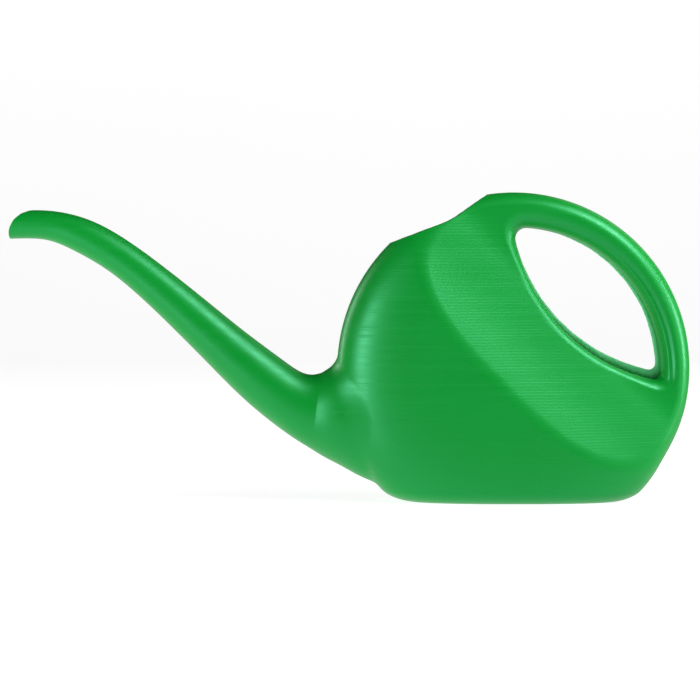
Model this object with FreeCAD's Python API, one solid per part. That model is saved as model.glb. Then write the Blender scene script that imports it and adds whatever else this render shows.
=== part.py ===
"""Long-spouted indoor watering can, one hollow blow moulding. All sizes in millimetres.

The frame has +Z up, the spout towards -X and the grip towards +X. The origin is in the middle of the
flat base, and Y = 0 is the parting plane between the two halves of the mould. The can is moulded in one
piece, so its zones are cut from the same skin and meet face to face.
"""
import FreeCAD
import Part
import math
import os

Vec = FreeCAD.Vector

# Belly: a thick round disc that stands on its cut-off edge
belly_radius = 111.0
belly_height = 83.0         # height of the disc's centre above the base
belly_width = 71.0          # across the two sides
belly_fullness = 3.3        # exponent of the bulge: a higher one gives flatter sides and a tighter edge
wall = 1.8                  # wall of the whole moulding
floor_thickness = 2.2       # thicker, where the tube of plastic was pinched shut
base_edge_radius = 6.5      # rounding between the base and the belly
base_height = 8.0           # height of the zone that counts as the base

# Flanks: a slanting flat on each side thins the belly towards the grip, on the 45 degree line
flank_start = -12.6         # crease, measured from the disc's centre along that line
flank_slope = 17.0          # degrees between the flat and the parting plane
flank_easing = 40.0         # radius where the flat turns into the side of the grip
crease_radius = 10.0        # rounding of the crease and of the outer edge of the grip

# Grip: what is left of the disc's edge round the hand hole, a hollow tube
grip_depth = 21.7           # seen from the side
grip_width = 25.0           # across
grip_from = 7.0             # degrees above level, round the disc's centre, where the free tube begins
grip_to = 83.0
hole_near = 40.3            # from the disc's centre to the near edge of the hole
hole_far_radius = 112.6     # radius of that near edge, which curves the other way
hole_corner = 5.0           # rounding of the two points of the hole
hole_roll = 11.0            # rounding from the flanks into the hole
web_width = 2.0             # trimmed web left on the parting plane round the hole
web_thickness = 1.4

# Mouth: two straight trims take the dome off the filling opening
mouth_front = 135.3         # degrees round the disc's centre, on its edge
mouth_rear = 98.5
mouth_kink = 112.2          # where the two trims meet
mouth_kink_depth = 8.8     # below the disc's edge
rim_height = 6.0            # band under the trimmed edge

# Spout: round sections square to its middle line, from the tip to the belly, as distance ahead of the
# belly's front edge, height above the base, half the height of the section and half its width
spout_sections = [
    (220.6, 171.9, 7.4, 7.4),
    (195.9, 173.5, 8.1, 8.1),
    (179.9, 173.2, 9.4, 9.4),
    (159.9, 166.6, 10.9, 10.9),
    (139.9, 155.9, 11.4, 11.4),
    (115.9, 137.6, 12.0, 12.0),
    (91.9, 116.6, 13.5, 13.5),
    (67.9, 94.9, 15.5, 15.5),
    (43.9, 74.3, 17.4, 17.1),
    (27.9, 62.9, 19.2, 18.7),
    (11.9, 56.4, 23.2, 20.9),
    (-4.1, 53.8, 30.6, 23.6),
    (-20.1, 52.0, 38.4, 25.5),
    (-39.4, 50.0, 43.0, 25.5),
]
tip_section = 3             # the pouring tip reaches to this section
root_section = 8            # and the flared root starts at this one
lip_radius = 15.8           # round trim of the tip, seen from the side
lip_ahead = 189.6           # middle of that trim, ahead of the belly
lip_height = 167.1

reach = 400.0               # size of the solids that only cut
half_width = belly_width / 2
diagonal = math.sqrt(0.5)
centre = Vec(0, 0, belly_height)
spout_sides = 12            # points round a section of the spout


def side_point(s, t, y=0.0):
    """Point at s along the 45 degree line from the disc's centre, t square to it and y to the side."""
    return Vec((s + t) * diagonal, y, belly_height + (s - t) * diagonal)


def polar(angle, radius, y=0.0):
    """Point of the side view at an angle and a radius about the disc's centre."""
    turn = math.radians(angle)
    return Vec(radius * math.cos(turn), y, belly_height + radius * math.sin(turn))


def spline_edge(points, closed=False):
    curve = Part.BSplineCurve()
    curve.interpolate(Points=points, PeriodicFlag=closed)
    return curve.toShape()


def across(face):
    """The face, which lies on the plane at -reach, drawn right across the can."""
    return face.extrude(Vec(0, 2 * reach, 0))


def polygon_across(points):
    """A prism right across the can over a polygon of side view points."""
    corners = [Vec(p.x, -reach, p.z) for p in points]
    return across(Part.Face(Part.makePolygon(corners + corners[:1])))


def disc(inset):
    """The round disc: a superellipse turned about the axis across the can."""
    radius = belly_radius - inset
    half = half_width - inset
    points = []
    count = 24
    for i in range(count + 1):
        turn = math.pi * (i / count - 0.5)
        c, s = abs(math.cos(turn)), math.sin(turn)
        r = radius * c ** (2 / belly_fullness)
        y = math.copysign(half * abs(s) ** (2 / belly_fullness), s)
        points.append(Vec(r, y, belly_height))
    points[0] = Vec(0, -half, belly_height)
    points[-1] = Vec(0, half, belly_height)
    edge = spline_edge(points)
    axis = Part.makeLine(points[-1], points[0])
    return Part.Face(Part.Wire([edge, axis])).revolve(centre, Vec(0, 1, 0), 360)


def flank_cutter(inset, side):
    """What the mould leaves out beside one flank: a slanting flat that eases into the grip's side."""
    slope = math.radians(flank_slope)
    level = grip_width / 2 - inset
    top = half_width - inset * (1 / math.cos(slope))
    s_end = flank_start + (half_width - level - inset / math.cos(slope)) / math.tan(slope)
    tangent = flank_easing * math.tan(slope / 2)
    lead = 60.0

    def at(s, y):
        return side_point(s, -reach, side * y)

    before = at(flank_start - lead, top + lead * math.tan(slope))
    a = at(s_end - tangent * math.cos(slope), level + tangent * math.sin(slope))
    b = at(s_end + tangent, level)
    middle_angle = slope / 2
    m = at(s_end + tangent - flank_easing * math.sin(middle_angle),
           level + flank_easing * (1 - math.cos(middle_angle)))
    far = at(reach, level)
    outer = at(reach, half_width + reach)
    back = at(flank_start - lead, half_width + reach)
    edges = [Part.makeLine(before, a), Part.Arc(a, m, b).toShape(), Part.makeLine(b, far),
             Part.makeLine(far, outer), Part.makeLine(outer, back), Part.makeLine(back, before)]
    face = Part.Face(Part.Wire(edges))
    return face.extrude(side_point(0, 2 * reach) - centre)


def hole_prism(inset):
    """The hand hole right across: a lens between two arcs, with rounded points. A positive inset, for
    the hollow of the grip, makes it wider all round."""
    tube_side = belly_radius - grip_depth + inset
    far_radius = hole_far_radius + inset
    far_centre = hole_near + hole_far_radius
    squares = tube_side ** 2 + far_centre ** 2 - far_radius ** 2
    half_angle = math.degrees(math.acos(squares / (2 * tube_side * far_centre)))
    ends = [polar(45 - half_angle, tube_side, -reach), polar(45 + half_angle, tube_side, -reach)]
    tube_arc = Part.Arc(ends[0], polar(45, tube_side, -reach), ends[1]).toShape()
    near_arc = Part.Arc(ends[1], side_point(far_centre - far_radius, 0, -reach), ends[0]).toShape()
    prism = across(Part.Face(Part.Wire([tube_arc, near_arc])))
    points = [e for e in prism.Edges if e.BoundBox.YLength > reach]
    return prism.makeFillet(hole_corner + inset, points)


def on_skin(solid, edge):
    """Whether an edge lies in the skin of a solid, on one side of the parting plane."""
    if edge.BoundBox.YMin < 0 < edge.BoundBox.YMax:
        return False
    start, end = edge.ParameterRange
    points = [edge.valueAt(start + (end - start) * part) for part in (0.1, 0.5, 0.9)]
    return all(solid.Shells[0].distToShape(Part.Vertex(p))[0] < 0.01 for p in points)


def body(inset):
    """Belly and grip together: the outside of the moulding or, with the wall as inset, its hollow."""
    low = floor_thickness if inset else 0.0
    whole_disc = disc(inset)
    hole = hole_prism(inset)
    below = Part.makeBox(2 * reach, 2 * reach, reach, Vec(-reach, -reach, low - reach))
    solid = whole_disc.cut(below)
    base_edges = [e for e in solid.Edges if e.BoundBox.ZMax < low + 0.01]
    solid = solid.makeFillet(base_edge_radius - inset, base_edges)
    solid = solid.cut(flank_cutter(inset, -1)).cut(flank_cutter(inset, 1)).cut(hole)
    outer_edges = [e for e in solid.Edges if e.BoundBox.ZMin > base_height and on_skin(whole_disc, e)]
    solid = solid.makeFillet(crease_radius - inset, outer_edges)
    hole_edges = [e for e in solid.Edges if on_skin(hole, e)]
    return solid.makeFillet(hole_roll - inset, hole_edges)


def section_middle(index):
    ahead, height, _, _ = spout_sections[index]
    return Vec(-belly_radius - ahead, 0, height)


def spout_line():
    curve = Part.BSplineCurve()
    curve.interpolate([section_middle(index) for index in range(len(spout_sections))])
    return curve


def section_frame(index):
    """Middle of a section of the spout and the unit vectors along the spout and up across it."""
    line = spout_line()
    middle = section_middle(index)
    along = line.tangent(line.parameter(middle))[0].normalize()
    return middle, along, Vec(0, 1, 0).cross(along).normalize() * -1


def spout(inset):
    """The spout as one smooth solid that ends inside the belly, or its channel."""
    wires = []
    for index in range(len(spout_sections)):
        middle, _, up = section_frame(index)
        tall, wide = spout_sections[index][2] - inset, spout_sections[index][3] - inset
        points = []
        for i in range(spout_sides):
            turn = 2 * math.pi * i / spout_sides
            points.append(middle + up * (tall * math.cos(turn)) + Vec(0, wide * math.sin(turn), 0))
        wires.append(Part.Wire([spline_edge(points, True)]))
    return Part.makeLoft(wires, True, False)


def trimmed_tip():
    """Everything that the round trim leaves of the spout's tip."""
    start = -belly_radius - lip_ahead
    round_end = Part.makeCylinder(lip_radius, 2 * reach, Vec(start, -reach, lip_height), Vec(0, 1, 0))
    rest = Part.makeBox(2 * reach, 2 * reach, 2 * reach, Vec(start, -reach, -reach))
    return round_end.fuse(rest)


def beyond_section(index):
    """Everything on the belly's side of a section of the spout."""
    middle, along, up = section_frame(index)
    above, below, ahead = middle + up * reach, middle - up * reach, along * 2 * reach
    return polygon_across([above, below, below + ahead, above + ahead])


def grip_zone():
    """The part of the side view that holds the free tube of the grip, with ends square to the tube."""
    low = (belly_radius - grip_depth) * 0.87
    middle = (grip_from + grip_to) / 2
    far = 2 * belly_radius
    return polygon_across([polar(grip_from, low), polar(grip_from, far), polar(middle, far),
                           polar(grip_to, far), polar(grip_to, low)])


def mouth_opening(lower):
    """Everything above the two trims of the mouth, moved down by lower."""
    front = polar(mouth_front, belly_radius)
    kink = polar(mouth_kink, belly_radius - mouth_kink_depth)
    rear = polar(mouth_rear, belly_radius)
    before = front + (front - kink) * 0.5
    after = rear + (rear - kink) * 0.25
    top = Vec(0, 0, belly_height)
    down = Vec(0, 0, -lower)
    outline = [before, kink, after, after + top, before + top]
    return polygon_across([p + down for p in outline])


def seam_web():
    """The thin web that the knife left on the parting plane all round the hand hole."""
    outside = hole_prism(0.0)
    inside = hole_prism(-web_width)
    middle = Part.makeBox(2 * reach, web_thickness, 2 * reach, Vec(-reach, -web_thickness / 2, -reach))
    return outside.cut(inside).common(middle)


def save(name, shape):
    solids = shape.Solids
    if len(solids) != 1:
        raise ValueError(f"{name} should be one solid, not {len(solids)}")
    solids[0].exportStep(f"parts/{name}.step")
    print(name, round(solids[0].Volume), "mm3")


def make_parts():
    body_skin = body(0.0)
    channel = spout(wall)
    shell = body_skin.cut(body(wall)).cut(channel).cut(mouth_opening(0.0))
    base_slab = Part.makeBox(2 * reach, 2 * reach, base_height, Vec(-reach, -reach, 0))
    grip = grip_zone()
    rim = mouth_opening(rim_height)
    save("handle_grip", shell.common(grip))
    rest = shell.cut(grip)
    save("base_floor", rest.common(base_slab))
    rest = rest.cut(base_slab)
    save("mouth_rim", rest.common(rim))
    tank = rest.cut(rim)
    left_side = Part.makeBox(2 * reach, reach, 2 * reach, Vec(-reach, -reach, -reach))
    save("tank_left", tank.common(left_side))
    save("tank_right", tank.cut(left_side))
    save("handle_web", seam_web())
    tube = spout(0.0).cut(channel).cut(body_skin).common(trimmed_tip())
    past_tip = beyond_section(tip_section)
    past_tube = beyond_section(root_section)
    save("pour_tip", tube.cut(past_tip))
    save("spout_tube", tube.common(past_tip).cut(past_tube))
    save("spout_root", tube.common(past_tube))


os.makedirs("parts", exist_ok=True)
make_parts()
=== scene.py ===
import bpy
import numpy as np
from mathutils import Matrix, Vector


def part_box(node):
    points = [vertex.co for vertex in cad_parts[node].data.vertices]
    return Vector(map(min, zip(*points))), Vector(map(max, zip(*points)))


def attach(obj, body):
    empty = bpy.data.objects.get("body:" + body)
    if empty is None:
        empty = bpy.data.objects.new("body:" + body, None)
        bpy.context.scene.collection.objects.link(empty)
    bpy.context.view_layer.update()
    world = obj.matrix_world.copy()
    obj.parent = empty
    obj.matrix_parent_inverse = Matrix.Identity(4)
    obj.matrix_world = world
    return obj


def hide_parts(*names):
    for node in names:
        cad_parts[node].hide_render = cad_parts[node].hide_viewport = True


# A long-spouted watering can, blow moulded from green polyethylene in one skin.
# The skin is worked out in millimetres from distance formulas (negative inside the plastic's outline),
# cut into the can's zones where two formulas meet, and turned to metres when it goes into a mesh.

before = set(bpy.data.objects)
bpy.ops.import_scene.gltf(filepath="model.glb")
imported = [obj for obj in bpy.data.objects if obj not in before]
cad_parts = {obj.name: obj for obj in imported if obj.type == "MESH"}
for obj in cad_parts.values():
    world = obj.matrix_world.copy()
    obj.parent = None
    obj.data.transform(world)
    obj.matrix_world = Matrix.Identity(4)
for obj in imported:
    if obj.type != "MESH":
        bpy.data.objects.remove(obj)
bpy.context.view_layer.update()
mm = 0.001


def nodeBox(*nodes):  # lowest and highest corners of some nodes together, in millimetres
    corners = np.array([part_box(node) for node in nodes]) / mm
    return corners[:, 0].min(0), corners[:, 1].max(0)


tankLow, tankHigh = nodeBox("tank_left", "tank_right")
gripLow, gripHigh = nodeBox("handle_grip")
webLow, webHigh = nodeBox("handle_web")
floorLow, floorHigh = nodeBox("base_floor")
tipLow, tipHigh = nodeBox("pour_tip")
print("frame loaded")

belly = {
    "radius": tankHigh[0],                  # the belly is a round disc on edge, centred over the origin
    "middle": tankHigh[2] - tankHigh[0],    # height of the disc's centre
    "halfWidth": tankHigh[1],
    "fullness": 3.0,                        # exponent of the bulge across
    "wall": 1.8,
    "baseRound": 7.0,
    "swell": 1.5,                           # how far the disc's edge stands proud under the spout
    "swellAt": -141.0,                      # degrees round the disc's centre
    "swellWidth": 13.0,
    "baseDome": 1.3,                        # the base is blown slightly hollow, to stand on its rim
    "domeLength": 64.0,                     # half length and half width of that hollow
    "domeWidth": 25.0,
    "baseTop": floorHigh[2],
}

flank = {
    "start": -12.9,                         # crease, measured up the 45 degree line from the disc's centre
    "slope": np.radians(20.0),
    "easing": 5.0,                          # length over which the flat turns into the grip's side
    "crease": 26.0,                         # radius of the crease on the belly
    "gripCrease": 13.0,                     # and round the outside of the grip
    "dish": 0.9,                            # how hollow the flat is, over its length from crease to hole
    "dishMiddle": 14.0,
    "dishHalf": 27.0,
    "gripFade": (25.0, 62.0),               # up the line, where the belly's crease turns into the grip's
}

grip = {
    "halfWidth": gripHigh[1],
    "from": 7.0,                            # degrees above level round the disc's centre
    "to": 83.0,
    "holeMiddle": 65.0,                     # middle of the hand hole up the 45 degree line
    "wedgeStart": 50.0,                     # the free tube is cut off from the belly here on that line
    # the hole's edge on the tube, and on the flanks: middle, from the disc's centre, and radius
    "tubeArc": (1.6, -1.9, 90.8),
    "flankArc": (109.8, 102.8, 111.3),
    "lowCorner": 5.0,                       # rounding of the hole's two points
    "highCorner": 9.0,
    "roll": 11.0,                           # radius of the roll into the hole, on the grip
    "flankRoll": 4.0,                       # and on the flanks
    "rollFade": (44.0, 64.0),               # up the line, where one turns into the other
    "beadAt": 4.1,                          # small bead beside the hole's edge on the tube
    "grooveAt": 6.5,
    "beadHeight": 0.55,
    "beadWidth": 1.3,
    "grooveWidth": 1.2,
    "grooveShare": 0.9,                     # the groove's depth over the bead's height
    "beadRises": (-9.0, 6.0),               # degrees round the disc's centre
    "beadFalls": (24.0, 64.0),
}

spout = {
    # ahead of the belly's front edge, height, half height, half width
    "sections": np.array([
        (220.6, 171.7, 7.6, 7.6),
        (195.9, 173.9, 8.8, 8.8),
        (179.9, 173.1, 9.3, 9.3),
        (159.9, 166.8, 10.8, 10.8),
        (139.9, 155.7, 11.2, 11.2),
        (115.9, 137.4, 12.0, 12.0),
        (91.9, 116.4, 13.5, 13.5),
        (67.9, 94.7, 15.3, 15.3),
        (43.9, 74.1, 17.4, 17.1),
        (27.9, 62.8, 18.8, 17.5),
        (11.9, 56.6, 23.0, 17.7),
        (3.9, 55.2, 26.0, 19.0),
        (-6.1, 54.4, 30.6, 22.0),
        (-20.1, 54.6, 37.3, 22.6),
        (-39.4, 49.0, 40.6, 22.8),
        (-58.0, 46.0, 38.0, 22.5),
    ]),
    "tipSection": 3,                        # where the tip ends, and where the flare begins
    "rootSection": 8,
    "reach": -55.0,                         # the spout has no part in the skin behind this place
    "fillet": 6.0,                          # between spout and belly at the sides
    "sideBand": (16.0, 58.0),               # heights between which it grows from the notch's to the sides'
    "topBand": (72.0, 92.0),                # and from the sides' to the valley's
    "valley": 5.0,                          # at the top
    "notch": 1.5,                           # and underneath
    "lipRadius": 15.8,
    "lipAhead": 189.6,
    "lipHeight": 167.1,
}

mouth = {
    "front": 134.4,                         # degrees round the disc's centre, on its edge
    "kink": 113.0,
    "rear": 98.6,
    "kinkDepth": 9.4,
    "kinkRound": 1.0,
    "rimHeight": 6.0,
}

# How finely the skins are made: points round the belly's edge, round each of its sections, round the
# spout and round the web, and millimetres between the spout's rings
fineness = {"round": 380, "across": 210, "spout": 96, "web": 720, "ringStep": 1.5}


def alongFlank(p):  # distance up the 45 degree line through the hand hole, from the disc's centre
    return (p[:, 0] + p[:, 2] - belly["middle"]) * np.sqrt(0.5)


def polar(angle, radius):  # side view point at an angle in degrees and a radius about the disc's centre
    a = np.radians(angle)
    return np.array([radius * np.cos(a), belly["middle"] + radius * np.sin(a)])


def smoothStep(value, start, end):  # 0 before start, 1 after end, a cubic between
    t = np.clip((value - start) / (end - start), 0.0, 1.0)
    return t * t * (3 - 2 * t)


def roundedMeet(a, b, radius):
    # Inside both a and b: the larger distance, except where both are within the radius of nought, where
    # it is the length of (a + radius, b + radius) less the radius, which rounds the edge
    u = np.maximum(a + radius, 0)
    v = np.maximum(b + radius, 0)
    return np.minimum(np.maximum(a, b), -radius) + np.hypot(u, v)


def discDistance(p):
    # The disc is q = 1, with q the n-th root of (r / R)^n + (|y| / H)^n. The distance is (q - 1) over
    # the length of q's gradient, and the gradient also gives the normal, as its parts outwards and
    # across. The edge stands a little proud under the spout, by a bell curve of the angle
    n, half = belly["fullness"], belly["halfWidth"]
    z = p[:, 2] - belly["middle"]
    angle = np.degrees(np.arctan2(z, p[:, 0]))
    offSwell = (angle - belly["swellAt"]) / belly["swellWidth"]
    radius = belly["radius"] + belly["swell"] * np.exp(-offSwell ** 2)
    r = np.hypot(p[:, 0], z) / radius
    w = np.abs(p[:, 1]) / half
    q = np.maximum((r ** n + w ** n) ** (1 / n), 0.05)
    alongR = q ** (1 - n) * r ** (n - 1) / radius
    alongY = q ** (1 - n) * w ** (n - 1) / half
    size = np.maximum(np.hypot(alongR, alongY), 1e-4)
    return (q - 1) / size, alongR / size, alongY / size


def flankDistance(p):
    # The flat's half width falls along the 45 degree line and eases into the grip's half width: the
    # grip's half width plus slope times easing times log(1 + exp((end - s) / easing)), less a shallow
    # dish of the depth times (1 - u^2)^2
    slope, easing = np.tan(flank["slope"]), flank["easing"]
    end = flank["start"] + (belly["halfWidth"] - grip["halfWidth"]) / slope
    fall = (end - alongFlank(p)) / easing
    level = grip["halfWidth"] + slope * easing * np.logaddexp(0, fall)
    across = np.clip((alongFlank(p) - flank["dishMiddle"]) / flank["dishHalf"], -1, 1)
    level = level - flank["dish"] * (1 - across ** 2) ** 2
    steep = slope / (1 + np.exp(-fall))
    return (np.abs(p[:, 1]) - level) / np.hypot(1, steep), steep


def lensDistance(p, tubeArc, flankArc, lowCorner, highCorner):
    # The lens between two arcs about middles given from the disc's centre, negative inside, with rounded
    # points
    z = p[:, 2] - belly["middle"]
    corner = lowCorner + (highCorner - lowCorner) * smoothStep(z - p[:, 0], -20.0, 60.0)
    tube = np.hypot(p[:, 0] - tubeArc[0], z - tubeArc[1]) - tubeArc[2]
    far = np.hypot(p[:, 0] - flankArc[0], z - flankArc[1]) - flankArc[2]
    return roundedMeet(tube, far, corner)


def holeDistance(p):
    return lensDistance(p, grip["tubeArc"], grip["flankArc"], grip["lowCorner"], grip["highCorner"])


def bellyDistance(p):
    # Belly and grip: inside the disc and both flanks, outside the hole, above the base. The rounding of
    # the crease is radius * (1 - cos(half the turn)), so that a flat turn gets the radius that is asked
    disc, discR, discY = discDistance(p)
    side, steep = flankDistance(p)
    s = alongFlank(p)
    r = np.maximum(np.hypot(p[:, 0], p[:, 2] - belly["middle"]), 1.0)
    turn = (discR * s / r * steep + discY) / np.hypot(1, steep)
    onGrip = smoothStep(s, *flank["gripFade"])
    crease = flank["crease"] + (flank["gripCrease"] - flank["crease"]) * onGrip
    halfTurn = np.sqrt(np.clip((1 + turn) / 2, 0, 1))
    skin = roundedMeet(disc, side, crease * (1 - halfTurn) / (1 - np.sqrt(0.5)) + 0.05)
    roll = grip["flankRoll"] + (grip["roll"] - grip["flankRoll"]) * smoothStep(s, *grip["rollFade"])
    skin = roundedMeet(skin, -holeDistance(p), roll)
    dome = np.clip(1 - (p[:, 0] / belly["domeLength"]) ** 2 - (p[:, 1] / belly["domeWidth"]) ** 2, 0, 1) ** 2
    return roundedMeet(skin, belly["baseDome"] * dome - p[:, 2], belly["baseRound"]) - bead(p)


def bead(p):
    # The low bead and groove beside the hole on the tube, strongest at the tube's lower end
    z = p[:, 2] - belly["middle"]
    r = np.hypot(p[:, 0] - grip["tubeArc"][0], z - grip["tubeArc"][1]) - grip["tubeArc"][2]
    angle = np.degrees(np.arctan2(z, p[:, 0]))
    along = smoothStep(angle, *grip["beadRises"]) * (1 - smoothStep(angle, *grip["beadFalls"]))
    ridge = np.exp(-((r - grip["beadAt"]) / grip["beadWidth"]) ** 2)
    groove = np.exp(-((r - grip["grooveAt"]) / grip["grooveWidth"]) ** 2)
    return along * grip["beadHeight"] * (ridge - grip["grooveShare"] * groove)


def naturalSpline(knots, values, t):
    # Smooth curve through the values: cubic pieces whose second differences match where they join
    count = len(knots)
    h = np.diff(knots)
    matrix = np.eye(count)
    rows = np.arange(1, count - 1)
    matrix[rows, rows - 1] = h[:-1]
    matrix[rows, rows] = 2 * (h[:-1] + h[1:])
    matrix[rows, rows + 1] = h[1:]
    right = np.zeros((count, values.shape[1]))
    slopes = np.diff(values, axis=0) / h[:, None]
    right[1:-1] = 6 * np.diff(slopes, axis=0)
    bend = np.linalg.solve(matrix, right)
    i = np.clip(np.searchsorted(knots, t) - 1, 0, count - 2)
    a = (knots[i + 1] - t)[:, None]
    b = (t - knots[i])[:, None]
    w = h[i][:, None]
    return ((bend[i] * a ** 3 + bend[i + 1] * b ** 3) / (6 * w)
            + (values[i] / w - bend[i] * w / 6) * a + (values[i + 1] / w - bend[i + 1] * w / 6) * b)


def stringSpout(step):
    # Balls strung along the spout's middle line at even steps: x, z, radius and radius over half width
    rows = spout["sections"]
    path = np.column_stack((-belly["radius"] - rows[:, 0], rows[:, 1]))
    knots = np.concatenate(([0], np.cumsum(np.hypot(*np.diff(path, axis=0).T))))
    t = np.linspace(0, knots[-1], int(knots[-1] / step) + 1)
    balls = naturalSpline(knots, np.column_stack((path, rows[:, 2], rows[:, 2] / rows[:, 3])), t)
    return t, knots, balls


spoutT, spoutKnots, spoutBalls = stringSpout(fineness["ringStep"])


def spoutDistance(p):
    # Smallest distance to the strung balls, with a parabola through the three nearest to smooth the row
    nearest = np.empty(len(p))
    for part in np.array_split(np.arange(len(p)), max(1, len(p) // 20000)):
        q = p[part]
        x, z, r, k = spoutBalls.T
        d = np.sqrt((q[:, :1] - x) ** 2 + (q[:, 2:] - z) ** 2 + (q[:, 1:2] * k) ** 2) - r
        i = np.clip(d.argmin(1), 1, len(x) - 2)
        row = np.arange(len(q))
        before, here, after = d[row, i - 1], d[row, i], d[row, i + 1]
        curve = np.maximum(before + after - 2 * here, 1e-9)
        shift = np.clip((before - after) / (2 * curve), -1, 1)
        nearest[part] = here + shift * (after - before) / 2 + shift ** 2 * curve / 2
    return nearest


def canDistance(p):
    # Belly and spout together, with a fillet between them that tightens towards the base and the top
    d = bellyDistance(p)
    near = np.flatnonzero(p[:, 0] < spout["reach"])
    if len(near):
        q = p[near]
        atSide = smoothStep(q[:, 2], *spout["sideBand"])
        atTop = smoothStep(q[:, 2], *spout["topBand"])
        fillet = spout["notch"] + (spout["fillet"] - spout["notch"]) * atSide
        fillet = fillet - (spout["fillet"] - spout["valley"]) * atTop
        d[near] = -roundedMeet(-d[near], -spoutDistance(q), fillet)
    return d


def gradient(field, p):
    step = 0.02
    columns = []
    for axis in range(3):
        shift = np.zeros(3)
        shift[axis] = step
        columns.append((field(p + shift) - field(p - shift)) / (2 * step))
    return np.column_stack(columns)


def settle(p, fields, rounds=4):
    # Moves each point the shortest way to where every field is nought, by Newton's steps
    for _ in range(rounds):
        values = np.column_stack([f(p) for f in fields])
        slopes = np.stack([gradient(f, p) for f in fields], axis=1)
        square = slopes @ slopes.transpose(0, 2, 1) + 1e-9 * np.eye(len(fields))
        pull = np.linalg.solve(square, values[:, :, None])
        move = (slopes.transpose(0, 2, 1) @ pull)[:, :, 0]
        size = np.linalg.norm(move, axis=1, keepdims=True)
        p = p - move * np.minimum(1, 3.0 / np.maximum(size, 1e-9))
    return p


def level(field, depth):  # the same surface, moved inwards by the depth
    return lambda p: field(p) + depth


def gridFaces(rows, columns, closeRows):
    # Quads of a grid that closes round its columns, and round its rows too if asked
    count = rows if closeRows else rows - 1
    i, j = np.meshgrid(np.arange(count), np.arange(columns), indexing="ij")
    nextI, nextJ = (i + 1) % rows, (j + 1) % columns
    corners = (i * columns + j, nextI * columns + j, nextI * columns + nextJ, i * columns + nextJ)
    return np.stack(corners, -1).reshape(-1, 4)


class Skin:  # one open surface: its points, its four-sided faces and its three-sided ones
    def __init__(self, points, quads, tris=None):
        self.points = points
        self.quads = quads
        self.tris = np.zeros((0, 3), int) if tris is None else tris


def cut(skin, field, surface):
    # Keeps what lies where the field is negative. Faces across the edge are cut where the field is
    # nought, and the new points settle on the surface and on the cut together
    values = field(skin.points)
    inside = values[skin.quads] < 0
    whole = skin.quads[inside.all(1)]
    split = skin.quads[inside.any(1) & ~inside.all(1)]
    tris = np.concatenate((skin.tris, split[:, [0, 1, 2]], split[:, [0, 2, 3]]))
    inside = values[tris] < 0
    count = inside.sum(1)
    kept = tris[count == 3]
    oneIn = turned(tris[count == 1], inside[count == 1])
    oneOut = turned(tris[count == 2], ~inside[count == 2])
    edges = np.concatenate((oneIn[:, [0, 1]], oneIn[:, [0, 2]], oneOut[:, [0, 1]], oneOut[:, [0, 2]]))
    if not len(edges):
        return tidied(Skin(skin.points, whole, kept))
    unique, which = np.unique(np.sort(edges, 1), axis=0, return_inverse=True)
    which = which.reshape(-1) + len(skin.points)
    share = values[unique[:, 0]] / (values[unique[:, 0]] - values[unique[:, 1]])
    ends = skin.points[unique]
    fresh = ends[:, 0] + (ends[:, 1] - ends[:, 0]) * share[:, None]
    fresh = settle(fresh, [surface, field], 3)
    a, b, c, d = np.split(which, np.cumsum([len(oneIn), len(oneIn), len(oneOut)]))
    kept = np.concatenate((
        kept, np.column_stack((oneIn[:, 0], a, b)),
        np.column_stack((c, oneOut[:, 1], oneOut[:, 2])), np.column_stack((c, oneOut[:, 2], d))))
    return tidied(Skin(np.concatenate((skin.points, fresh)), whole, kept))


def turned(tris, odd):  # turns each triangle so that its odd corner comes first
    first = odd.argmax(1)
    row = np.arange(len(tris))
    return np.column_stack([tris[row, (first + k) % 3] for k in range(3)])


def tidied(skin):  # drops the points that no face uses any more
    used = np.unique(np.concatenate((skin.quads.ravel(), skin.tris.ravel())))
    renumber = np.zeros(len(skin.points), int)
    renumber[used] = np.arange(len(used))
    return Skin(skin.points[used], renumber[skin.quads], renumber[skin.tris])


def openEdges(skin):  # edges of only one face, in the direction that the face runs
    runs = [skin.quads[:, [k, (k + 1) % 4]] for k in range(4)]
    runs += [skin.tris[:, [k, (k + 1) % 3]] for k in range(3)]
    runs = np.concatenate(runs)
    _, which, count = np.unique(np.sort(runs, 1), axis=0, return_inverse=True, return_counts=True)
    return runs[count[which.reshape(-1)] == 1]


def putShell(name, skin, surface, edges, masks, nodes):
    # A closed shell: the skin, the same skin one wall further in, and a strip along each open edge. The
    # inner points of an edge settle on the inner skin and on the surface that the edge was cut along
    wall = belly["wall"]
    outer = settle(skin.points, [surface], 2)
    outerNormal = unit(gradient(surface, outer))
    inner = settle(outer - outerNormal * wall, [level(surface, wall)], 3)
    rim = openEdges(skin)
    rimPoints = np.unique(rim)
    for edge in edges:
        on = rimPoints[np.abs(edge(outer[rimPoints])) < 0.02]
        if len(on):
            inner[on] = settle(inner[on], [level(surface, wall), edge], 3)
    innerNormal = -unit(gradient(surface, inner))
    count = len(outer)
    points = np.concatenate((outer, inner))
    strip = np.column_stack((rim[:, 1], rim[:, 0], rim[:, 0] + count, rim[:, 1] + count))
    faces = [skin.quads, skin.tris, skin.quads[:, ::-1] + count, skin.tris[:, ::-1] + count, strip]
    corner = points[strip]
    across = np.cross(corner[:, 2] - corner[:, 0], corner[:, 3] - corner[:, 1])
    pointNormal = np.concatenate((outerNormal, innerNormal))
    cornerNormals = [pointNormal[f].reshape(-1, 3) for f in faces[:4]]
    cornerNormals.append(np.repeat(unit(across), 4, axis=0))
    attributes = {key: mask(points, pointNormal) for key, mask in masks.items()}
    return putMesh(name, points, faces, np.concatenate(cornerNormals), attributes, nodes)


def unit(v):
    return v / np.maximum(np.linalg.norm(v, axis=-1, keepdims=True), 1e-12)


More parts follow.
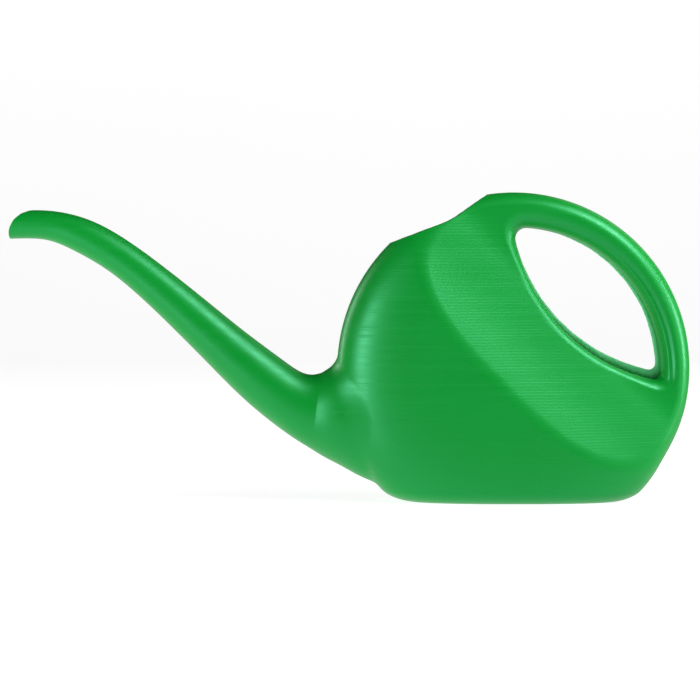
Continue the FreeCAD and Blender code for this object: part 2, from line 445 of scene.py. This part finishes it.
def putMesh(name, points, faces, cornerNormals, attributes, nodes):
    mesh = bpy.data.meshes.new(name)
    loops = np.concatenate([f.ravel() for f in faces]).astype(np.int32)
    sizes = np.concatenate([np.full(len(f), f.shape[1]) for f in faces])
    starts = np.concatenate(([0], np.cumsum(sizes)[:-1])).astype(np.int32)
    mesh.vertices.add(len(points))
    mesh.vertices.foreach_set("co", (points * mm).ravel().astype(np.float32))
    mesh.loops.add(len(loops))
    mesh.loops.foreach_set("vertex_index", loops)
    mesh.polygons.add(len(sizes))
    mesh.polygons.foreach_set("loop_start", starts)
    mesh.update(calc_edges=True)
    mesh.polygons.foreach_set("use_smooth", np.ones(len(sizes), bool))
    for key, values in attributes.items():
        layer = mesh.attributes.new(key, "FLOAT", "POINT")
        layer.data.foreach_set("value", values.astype(np.float32))
    if cornerNormals is not None:
        mesh.normals_split_custom_set(cornerNormals.astype(np.float32))
    piece = bpy.data.objects.new(name, mesh)
    bpy.context.scene.collection.objects.link(piece)
    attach(piece, "root")
    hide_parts(*nodes)
    print(name, len(points), "points")
    return piece


# The edges between zones, each a field that is negative inside the zone

def underTrim(lower):
    # Below either of the mouth's two straight trims, which the knife left a little uneven
    front = polar(mouth["front"], belly["radius"])
    kink = polar(mouth["kink"], belly["radius"] - mouth["kinkDepth"])
    rear = polar(mouth["rear"], belly["radius"])

    def field(p):
        heights = []
        for a, b in ((front, kink), (kink, rear)):
            tilt = (b[1] - a[1]) / (b[0] - a[0])
            heights.append((p[:, 2] - a[1] - tilt * (p[:, 0] - a[0])) / np.hypot(1, tilt))
        meet = -roundedMeet(-heights[0], -heights[1], mouth["kinkRound"])
        wave = 0.05 * np.sin(p[:, 0] * 0.43 + p[:, 1] * 0.21) + 0.03 * np.sin(p[:, 0] * 1.1 - p[:, 1] * 0.6)
        return meet + lower + (wave if lower == 0 else 0)
    return field


def aboveBase(p):
    return belly["baseTop"] - p[:, 2]


def outsideGrip(p):
    # Negative outside the wedge of the free tube, which is cut square at both ends
    z = p[:, 2] - belly["middle"]
    low, high = np.radians(grip["from"]), np.radians(grip["to"])
    belowStart = z * np.cos(low) - p[:, 0] * np.sin(low)
    beyondEnd = p[:, 0] * np.sin(high) - z * np.cos(high)
    beforeHole = alongFlank(p) - grip["wedgeStart"]
    return np.minimum(np.minimum(belowStart, beyondEnd), beforeHole)


def flip(field):
    return lambda p: -field(p)


def pastSection(index):
    # Negative on the belly's side of one of the spout's sections
    balls = spoutBalls
    i = np.clip(np.searchsorted(spoutT, spoutKnots[index]), 1, len(balls) - 2)
    along = unit(balls[i + 1, :2] - balls[i - 1, :2])
    x, z = balls[i, :2]
    return lambda p: -((p[:, 0] - x) * along[0] + (p[:, 2] - z) * along[1])


def insideLip(p):
    # The round trim of the tip, seen from the side
    x = -belly["radius"] - spout["lipAhead"]
    away = np.hypot(p[:, 0] - x, p[:, 2] - spout["lipHeight"]) - spout["lipRadius"]
    uneven = 0.08 * np.sin(p[:, 1] * 1.3 + p[:, 2] * 0.9)
    return np.where(p[:, 0] < x, away + uneven, -5.0)


# Where the mould's milled lines show

milledLines = {
    "facing": (0.25, 0.6),                  # how squarely the skin faces sideways
    "gripFade": (52.0, 64.0),               # up the 45 degree line
    "holeFade": (6.0, 13.0),                # out from the hand hole's edge
    "spoutFade": (1.0, 9.0),                # out from the spout
    "baseFade": (3.0, 9.0),                 # up from the base
}


def striationMask(p, normal):
    # 1 on the belly's sides and flanks, nought on the grip, the spout and the rounded parts
    sides = smoothStep(np.abs(normal[:, 1]), *milledLines["facing"])
    free = 1 - smoothStep(alongFlank(p), *milledLines["gripFade"])
    clear = smoothStep(holeDistance(p), *milledLines["holeFade"])
    offSpout = np.ones(len(p))
    near = np.flatnonzero(p[:, 0] < spout["reach"])
    offSpout[near] = smoothStep(spoutDistance(p[near]), *milledLines["spoutFade"])
    return sides * free * clear * offSpout * smoothStep(p[:, 2], *milledLines["baseFade"])


def holeCentre():
    middle = grip["holeMiddle"] * np.sqrt(0.5)
    return np.array([middle, 0.0, belly["middle"] + middle])


def bodySkin():
    # Rays from the middle of each upright section through the hand hole, out to the belly's skin. The
    # sections are spread evenly round the disc's edge, and the rays evenly round an ellipse
    rows, columns = fineness["round"], fineness["across"]
    hole = holeCentre()
    turn = np.linspace(0, 2 * np.pi, rows, endpoint=False)
    x, z = polar(np.degrees(turn), belly["radius"])
    way = unit(np.column_stack((x, 0 * turn, z)) - hole)
    inner = outward(hole + 0 * way, way, lambda p: -holeDistance(p), 150.0)
    skip = inner + 8.0                      # starts the second search well inside the plastic
    outerEdge = skip + outward(hole + way * skip[:, None], way, lambda p: -bellyDistance(p), 250.0)
    core = hole + way * ((inner + outerEdge) / 2)[:, None]
    reach = (outerEdge - inner) / 2
    around = np.linspace(0, 2 * np.pi, columns, endpoint=False)
    width = np.minimum(reach * 0.8, belly["halfWidth"])
    rays = (way[:, None] * (np.cos(around)[None, :] * reach[:, None])[:, :, None]
            + np.array([0, 1.0, 0]) * (np.sin(around)[None, :] * width[:, None])[:, :, None])
    rays = unit(rays).reshape(-1, 3)
    starts = np.repeat(core, columns, axis=0)
    back = -(rays * np.repeat(way, columns, axis=0)).sum(1)
    toHole = np.repeat((inner + outerEdge) / 2, columns)
    limit = np.where(back > 0.01, np.minimum(toHole / np.maximum(back, 0.01), 140.0), 140.0)
    length = outward(starts, rays, lambda p: -bellyDistance(p), limit)
    return Skin(starts + rays * length[:, None], gridFaces(rows, columns, True)[:, ::-1])


def outward(start, way, inside, limit):
    # Length of each ray up to where inside(point) stops being positive, by halving
    near = np.zeros(len(start))
    far = np.zeros(len(start)) + limit
    for _ in range(34):
        middle = (near + far) / 2
        ok = inside(start + way * middle[:, None]) > 0
        near = np.where(ok, middle, near)
        far = np.where(ok, far, middle)
    return near


def spoutSkin():
    # The outline of the strung balls: each ring is set back along the line by radius times the radius's
    # growth, and its radius shrinks to match
    columns = fineness["spout"]
    x, z, r, k = spoutBalls.T
    along = unit(np.column_stack((np.gradient(x), np.gradient(z))))
    growth = np.gradient(r) / np.hypot(np.gradient(x), np.gradient(z))
    ring = r * np.sqrt(1 - growth ** 2)
    middle = np.column_stack((x - r * growth * along[:, 0], 0 * x, z - r * growth * along[:, 1]))
    up = np.column_stack((-along[:, 1], 0 * x, along[:, 0]))
    around = np.linspace(0, 2 * np.pi, columns, endpoint=False)
    points = (middle[:, None] + up[:, None] * (ring[:, None] * np.cos(around))[:, :, None]
              + np.array([0, 1.0, 0]) * ((ring / k)[:, None] * np.sin(around))[:, :, None])
    return Skin(settle(points.reshape(-1, 3), [spoutDistance], 3), gridFaces(len(x), columns, False))


# The can's skin, zone by zone
print("working out the belly")
trim = underTrim(0.0)
band = underTrim(mouth["rimHeight"])
masks = {"striation": striationMask}
pieces = {}

body = bodySkin()
body = cut(body, lambda p: -spoutDistance(p), bellyDistance)
gripSkin = cut(body, flip(outsideGrip), bellyDistance)
pieces["grip"] = putShell("grip_tube", gripSkin, canDistance, [outsideGrip], masks, ["handle_grip"])
body = cut(body, outsideGrip, bellyDistance)
body = cut(body, trim, bellyDistance)
baseSkin = cut(body, flip(aboveBase), bellyDistance)
pieces["base"] = putShell("base_pan", baseSkin, canDistance, [aboveBase], masks, ["base_floor"])
body = cut(body, aboveBase, bellyDistance)
rimSkin = cut(body, flip(band), bellyDistance)
pieces["rim"] = putShell("mouth_band", rimSkin, canDistance, [trim, band], masks, ["mouth_rim"])
body = cut(body, band, bellyDistance)


def spoutSeam(p):  # nought where belly and spout are equally far: the bottom of the fillet between them
    return bellyDistance(p) - spoutDistance(p)


pieces["tank"] = putShell("belly", body, canDistance, [outsideGrip, aboveBase, band, spoutSeam],
                          masks, ["tank_left", "tank_right"])

print("working out the spout")
tube = cut(spoutSkin(), insideLip, spoutDistance)
tube = cut(tube, lambda p: -bellyDistance(p), spoutDistance)
tipEnd = pastSection(spout["tipSection"])
rootStart = pastSection(spout["rootSection"])
tipSkin = cut(tube, flip(tipEnd), spoutDistance)
tube = cut(tube, tipEnd, spoutDistance)
tubeSkin = cut(tube, flip(rootStart), spoutDistance)
rootSkin = cut(tube, rootStart, spoutDistance)
pieces["tip"] = putShell("spout_tip", tipSkin, canDistance, [tipEnd, insideLip], masks, ["pour_tip"])
pieces["tube"] = putShell("spout_pipe", tubeSkin, canDistance, [tipEnd, rootStart], masks, ["spout_tube"])
pieces["root"] = putShell("spout_flare", rootSkin, canDistance, [rootStart, spoutSeam],
                          masks, ["spout_root"])


# The web of flash in the hand hole

web = {
    "inside": 0.8,                          # how far the web starts inside the skin
    "thick": 1.4,
    "edge": 0.6,                            # thickness at the knife's cut
    "slope": 0.9,                           # length over which it thins towards the cut
    "tubeArc": (0.0, 0.0, 89.4),            # the knife's cut along the tube, as the hole's arcs
    "flankArc": (108.4, 107.8, 110.6),      # and along the flanks
    "lowCorner": 5.0,
    "highCorner": 9.0,
}


def knifeCut(p):
    # The cut wavers a little, as the knife is led by hand: three sines of the angle round the hole
    fromHole = p - holeCentre()
    turn = np.arctan2(fromHole[:, 2], fromHole[:, 0])
    waver = 0.09 * np.sin(11 * turn + 1.0) + 0.04 * np.sin(37 * turn) + 0.03 * np.sin(83 * turn + 2.0)
    return lensDistance(p, web["tubeArc"], web["flankArc"], web["lowCorner"], web["highCorner"]) + waver


def putWeb():
    # A ring of six-sided sections round the hole: out to just inside the skin, in to the knife's cut
    rows = fineness["web"]
    turn = np.linspace(0, 2 * np.pi, rows, endpoint=False)
    way = np.column_stack((np.cos(turn), 0 * turn, np.sin(turn)))
    start = holeCentre() + 0 * way
    outer = outward(start, way, lambda p: web["inside"] - holeDistance(p), 90.0)
    inner = outward(start, way, lambda p: -knifeCut(p), 90.0)
    inner = np.minimum(inner, outer - web["inside"] - 0.1)
    slope = np.minimum(web["slope"], (outer - inner) * 0.6)
    half, sharp = web["thick"] / 2, web["edge"] / 2
    sway = 0.2 * np.sin(turn * 9.0 + 0.6) + 0.1 * np.sin(turn * 23.0)
    away = [outer, inner + slope, inner, inner, inner + slope, outer]
    side = [half, half, sharp, -sharp, -half, -half]
    loose = [0.0, 0.4, 1.0, 1.0, 0.4, 0.0]
    rings = [start + way * a[:, None] + np.array([0, 1.0, 0]) * (s + sway * k)[:, None]
             for a, s, k in zip(away, side, loose)]
    points = np.stack(rings, axis=1).reshape(-1, 3)
    return putMesh("hole_web", points, [gridFaces(rows, len(rings), True)], None, {}, ["handle_web"])


pieces["web"] = putWeb()


# Materials

def linear(code):  # an sRGB hex colour as the linear values that shaders use
    values = np.array([int(code[i:i + 2], 16) for i in (1, 3, 5)]) / 255
    return (*np.where(values <= 0.04045, values / 12.92, ((values + 0.055) / 1.055) ** 2.4), 1.0)


def addNode(tree, kind, settings=None, links=None):
    # A node of a kind, with its settings by socket or property name, and its links by socket name
    node = tree.nodes.new(kind)
    for key, value in (settings or {}).items():
        if isinstance(key, int) or key in node.inputs.keys():
            node.inputs[key].default_value = value
        else:
            setattr(node, key, value)
    for key, source in (links or {}).items():
        tree.links.new(source, node.inputs[key])
    return node


plastic = {
    "green": "#05952b",
    "deep": "#048c28",
    "sheen": "#86ffce",                     # the waxy skin's gloss takes up a little of the pigment
    "roughness": 0.39,
    "lines": 1.8 * mm,                      # pitch of the mould's milled lines
    "lineHeight": 0.018 * mm,
    "grain": 0.35 * mm,                     # fine sandblasted grain of the mould
    "grainHeight": 0.02 * mm,
    "flowHeight": 0.5 * mm,                 # slow unevenness of the blown wall
    "partingLine": 0.25 * mm,
    "partingHeight": 0.12 * mm,
}


def blowMouldedPolyethylene():
    # High-density polyethylene, blown against a milled and lightly blasted mould: a waxy satin skin with
    # faint level lines on the belly, a hair-thin parting line, and a little light in its thickness
    material = bpy.data.materials.new("blow-moulded polyethylene")
    material.use_nodes = True
    tree = material.node_tree
    tree.nodes.clear()
    place = addNode(tree, "ShaderNodeTexCoord")
    split = addNode(tree, "ShaderNodeSeparateXYZ", links={"Vector": place.outputs["Object"]})
    mask = addNode(tree, "ShaderNodeAttribute", {"attribute_name": "striation"})
    # level lines: the sine of the height over the pitch, which wander and come and go with two noises
    wander = addNode(tree, "ShaderNodeTexNoise", {"Scale": 7.0, "Detail": 1.0},
                     {"Vector": place.outputs["Object"]})
    wanderTurns = addNode(tree, "ShaderNodeMath", {"operation": "MULTIPLY", 1: 16.0},
                          {0: wander.outputs["Fac"]})
    phase = addNode(tree, "ShaderNodeMath", {"operation": "MULTIPLY_ADD", 1: 2 * np.pi / plastic["lines"]},
                    {0: split.outputs["Z"], 2: wanderTurns.outputs[0]})
    sine = addNode(tree, "ShaderNodeMath", {"operation": "SINE"}, {0: phase.outputs[0]})
    stretch = addNode(tree, "ShaderNodeMapping", {"Scale": (14.0, 14.0, 420.0)},
                      {"Vector": place.outputs["Object"]})
    lines = addNode(tree, "ShaderNodeTexNoise", {"Scale": 1.0, "Detail": 2.0},
                    {"Vector": stretch.outputs["Vector"]})
    depth = addNode(tree, "ShaderNodeMapRange",
                    {"From Min": 0.3, "From Max": 0.7, "To Min": 0.1, "To Max": 1.0},
                    {"Value": lines.outputs["Fac"]})
    masked = addNode(tree, "ShaderNodeMath", {"operation": "MULTIPLY"},
                     {0: depth.outputs["Result"], 1: mask.outputs["Fac"]})
    lineHeight = addNode(tree, "ShaderNodeMath", {"operation": "MULTIPLY"},
                         {0: sine.outputs[0], 1: masked.outputs[0]})
    grain = addNode(tree, "ShaderNodeTexNoise", {"Scale": 1 / plastic["grain"], "Detail": 2.0},
                    {"Vector": place.outputs["Object"]})
    flow = addNode(tree, "ShaderNodeTexNoise", {"Scale": 22.0, "Detail": 2.0},
                   {"Vector": place.outputs["Object"]})
    # parting line: a ridge where the distance from the middle plane is under its half width
    offset = addNode(tree, "ShaderNodeMath", {"operation": "ABSOLUTE"}, {0: split.outputs["Y"]})
    ridge = addNode(tree, "ShaderNodeMapRange", {"interpolation_type": "SMOOTHSTEP", "From Min": 0.0,
                    "From Max": plastic["partingLine"] * 1.6, "To Min": 1.0, "To Max": 0.0},
                    {"Value": offset.outputs[0]})
    bumpLines = addNode(tree, "ShaderNodeBump", {"Strength": 1.0, "Distance": plastic["lineHeight"]},
                        {"Height": lineHeight.outputs[0]})
    bumpGrain = addNode(tree, "ShaderNodeBump", {"Strength": 0.25, "Distance": plastic["grainHeight"]},
                        {"Height": grain.outputs["Fac"], "Normal": bumpLines.outputs["Normal"]})
    bumpFlow = addNode(tree, "ShaderNodeBump", {"Strength": 0.3, "Distance": plastic["flowHeight"]},
                       {"Height": flow.outputs["Fac"], "Normal": bumpGrain.outputs["Normal"]})
    bumpRidge = addNode(tree, "ShaderNodeBump", {"Strength": 1.0, "Distance": plastic["partingHeight"]},
                        {"Height": ridge.outputs["Result"], "Normal": bumpFlow.outputs["Normal"]})
    colour = addNode(tree, "ShaderNodeMix", {"data_type": "RGBA"}, {"Factor": flow.outputs["Fac"]})
    colour.inputs[6].default_value = linear(plastic["green"])
    colour.inputs[7].default_value = linear(plastic["deep"])
    gloss = addNode(tree, "ShaderNodeMapRange", {"From Min": 0.3, "From Max": 0.7,
                    "To Min": plastic["roughness"] - 0.03, "To Max": plastic["roughness"] + 0.05},
                    {"Value": lines.outputs["Fac"]})
    shader = addNode(tree, "ShaderNodeBsdfPrincipled",
                     {"IOR": 1.54, "Specular IOR Level": 0.85, "Specular Tint": linear(plastic["sheen"]),
                      "Subsurface Weight": 0.06, "Subsurface Scale": 1.2 * mm,
                      "Subsurface Radius": (0.4, 1.0, 0.5)},
                     {"Base Color": colour.outputs[2], "Roughness": gloss.outputs["Result"],
                      "Normal": bumpRidge.outputs["Normal"]})
    addNode(tree, "ShaderNodeOutputMaterial", links={"Surface": shader.outputs["BSDF"]})
    return material


def knifeTrimmedWebWithPaintedBacklight():
    # The same polyethylene pressed thin between the mould's halves, with a paler, rough cut edge and a
    # little light in its thickness. Its pale colour is painted light: the glow of light shining through the
    # thin web, painted on top of the flash's own green
    material = bpy.data.materials.new("knife-trimmed web, painted backlight")
    material.use_nodes = True
    tree = material.node_tree
    tree.nodes.clear()
    place = addNode(tree, "ShaderNodeTexCoord")
    drag = addNode(tree, "ShaderNodeTexNoise", {"Scale": 700.0, "Detail": 3.0},
                   {"Vector": place.outputs["Object"]})
    colour = addNode(tree, "ShaderNodeMix", {"data_type": "RGBA"}, {"Factor": drag.outputs["Fac"]})
    # painted backlight: both tones are far paler than the can's green, to stand in for light shining through
    # the web
    colour.inputs[6].default_value = linear("#6ad894")
    colour.inputs[7].default_value = linear("#45c074")
    bump = addNode(tree, "ShaderNodeBump", {"Strength": 0.4, "Distance": 0.08 * mm},
                   {"Height": drag.outputs["Fac"]})
    shader = addNode(tree, "ShaderNodeBsdfPrincipled",
                     {"IOR": 1.54, "Roughness": 0.5, "Subsurface Weight": 0.3, "Subsurface Scale": 2 * mm,
                      "Subsurface Radius": (0.5, 1.0, 0.6)},
                     {"Base Color": colour.outputs[2], "Normal": bump.outputs["Normal"]})
    addNode(tree, "ShaderNodeOutputMaterial", links={"Surface": shader.outputs["BSDF"]})
    return material


green = blowMouldedPolyethylene()
# the web's material carries painted backlight in its pale colour
paintedBacklitWeb = knifeTrimmedWebWithPaintedBacklight()
for key, piece in pieces.items():
    piece.data.materials.append(paintedBacklitWeb if key == "web" else green)
print("materials on")


# Camera, floor and light

view = {
    "target": (-0.1029, 0.0, 0.0949),
    "from": (-0.1029, -1.4, 0.1665),
    "lens": 114.4,                          # millimetres on a 36 mm sensor
}

studio = {
    "room": 0.02,                           # brightness of the room above the table
    "glow": 1.1,                            # and of the table, seen from above
    "paper": 0.9,                           # the sheet's own light, which keeps the ground white
}

lights = {
    # place, width, height, watts
    "leftStrip": ((-1.248, -0.964, 0.152), 0.18, 0.90, 13.5),
    "upperRight": ((0.850, -0.549, 1.123), 0.70, 0.70, 17.5),
    "overhead": ((0.894, -0.140, 1.215), 0.80, 0.80, 5.0),
    "farRight": ((1.385, -0.052, 0.309), 0.40, 0.70, 12.0),
    "lowRight": ((1.009, -0.998, 0.257), 0.40, 0.60, 1.0),
    "rearRim": ((0.605, 1.221, 0.613), 0.60, 0.90, 1.2),
    "leftRim": ((-1.310, 0.847, 0.360), 0.40, 0.90, 5.0),
}


def aim(obj, place, target):
    obj.location = place
    away = np.array(target) - np.array(place)
    flat = np.hypot(away[0], away[1])
    obj.rotation_euler = (np.pi / 2 + np.arctan2(away[2], flat), 0.0, np.arctan2(-away[0], away[1]))


def addCamera():
    data = bpy.data.cameras.new("camera")
    data.lens = view["lens"]
    data.clip_end = 50.0
    camera = bpy.data.objects.new("camera", data)
    bpy.context.scene.collection.objects.link(camera)
    aim(camera, view["from"], view["target"])
    bpy.context.scene.camera = camera


def addLights():
    for name, (place, width, height, watts) in lights.items():
        data = bpy.data.lights.new(name, "AREA")
        data.shape = "RECTANGLE"
        data.size, data.size_y = width, height
        data.energy = watts
        light = bpy.data.objects.new(name, data)
        bpy.context.scene.collection.objects.link(light)
        aim(light, place, view["target"])


def addWorld():
    # White where the camera looks past the can. Everything else sees a dark room above and the glow of a
    # pale table from below.
    world = bpy.data.worlds.new("studio")
    world.use_nodes = True
    tree = world.node_tree
    direction = addNode(tree, "ShaderNodeTexCoord")
    split = addNode(tree, "ShaderNodeSeparateXYZ", links={"Vector": direction.outputs["Generated"]})
    glow = addNode(tree, "ShaderNodeMapRange",
                   {"From Min": -0.05, "From Max": -0.5, "To Min": studio["room"], "To Max": studio["glow"]},
                   {"Value": split.outputs["Z"]})
    path = addNode(tree, "ShaderNodeLightPath")
    strength = addNode(tree, "ShaderNodeMapRange", {"To Max": 1.0},
                       {"Value": path.outputs["Is Camera Ray"], "To Min": glow.outputs["Result"]})
    tree.links.new(strength.outputs["Result"], tree.nodes["Background"].inputs["Strength"])
    tree.nodes["Background"].inputs["Color"].default_value = (1.0, 1.0, 1.0, 1.0)
    bpy.context.scene.world = world


def addFloor():
    # A pale sheet under the can that curves up behind it: flat, a quarter round, then upright
    depth, bendRadius, width, height = 1.6, 0.8, 6.0, 3.0
    turn = np.linspace(0, np.pi / 2, 24)
    y = np.concatenate(([-3.0], depth + bendRadius * np.sin(turn), [depth + bendRadius]))
    z = np.concatenate(([0.0], bendRadius * (1 - np.cos(turn)), [height]))
    x = np.array([-width, width])
    points = np.column_stack((np.tile(x, len(y)), np.repeat(y, 2), np.repeat(z, 2)))
    i = np.arange(len(y) - 1) * 2
    mesh = bpy.data.meshes.new("floor")
    mesh.from_pydata(points.tolist(), [], np.column_stack((i, i + 1, i + 3, i + 2)).tolist())
    mesh.polygons.foreach_set("use_smooth", np.ones(len(i), bool))
    floor = bpy.data.objects.new("floor", mesh)
    bpy.context.scene.collection.objects.link(floor)
    paper = bpy.data.materials.new("matt white paper")
    paper.use_nodes = True
    shader = paper.node_tree.nodes["Principled BSDF"]
    shader.inputs["Base Color"].default_value = linear("#7c7c7c")
    shader.inputs["Roughness"].default_value = 0.9
    shader.inputs["Emission Color"].default_value = linear("#ffffff")
    shader.inputs["Emission Strength"].default_value = studio["paper"]
    mesh.materials.append(paper)
    # the world's glow stands in for this sheet's light on the can
    floor.visible_diffuse = floor.visible_glossy = floor.visible_shadow = False


addCamera()
addLights()
addWorld()
addFloor()
bpy.context.scene.view_settings.view_transform = "Standard"
print("studio set")
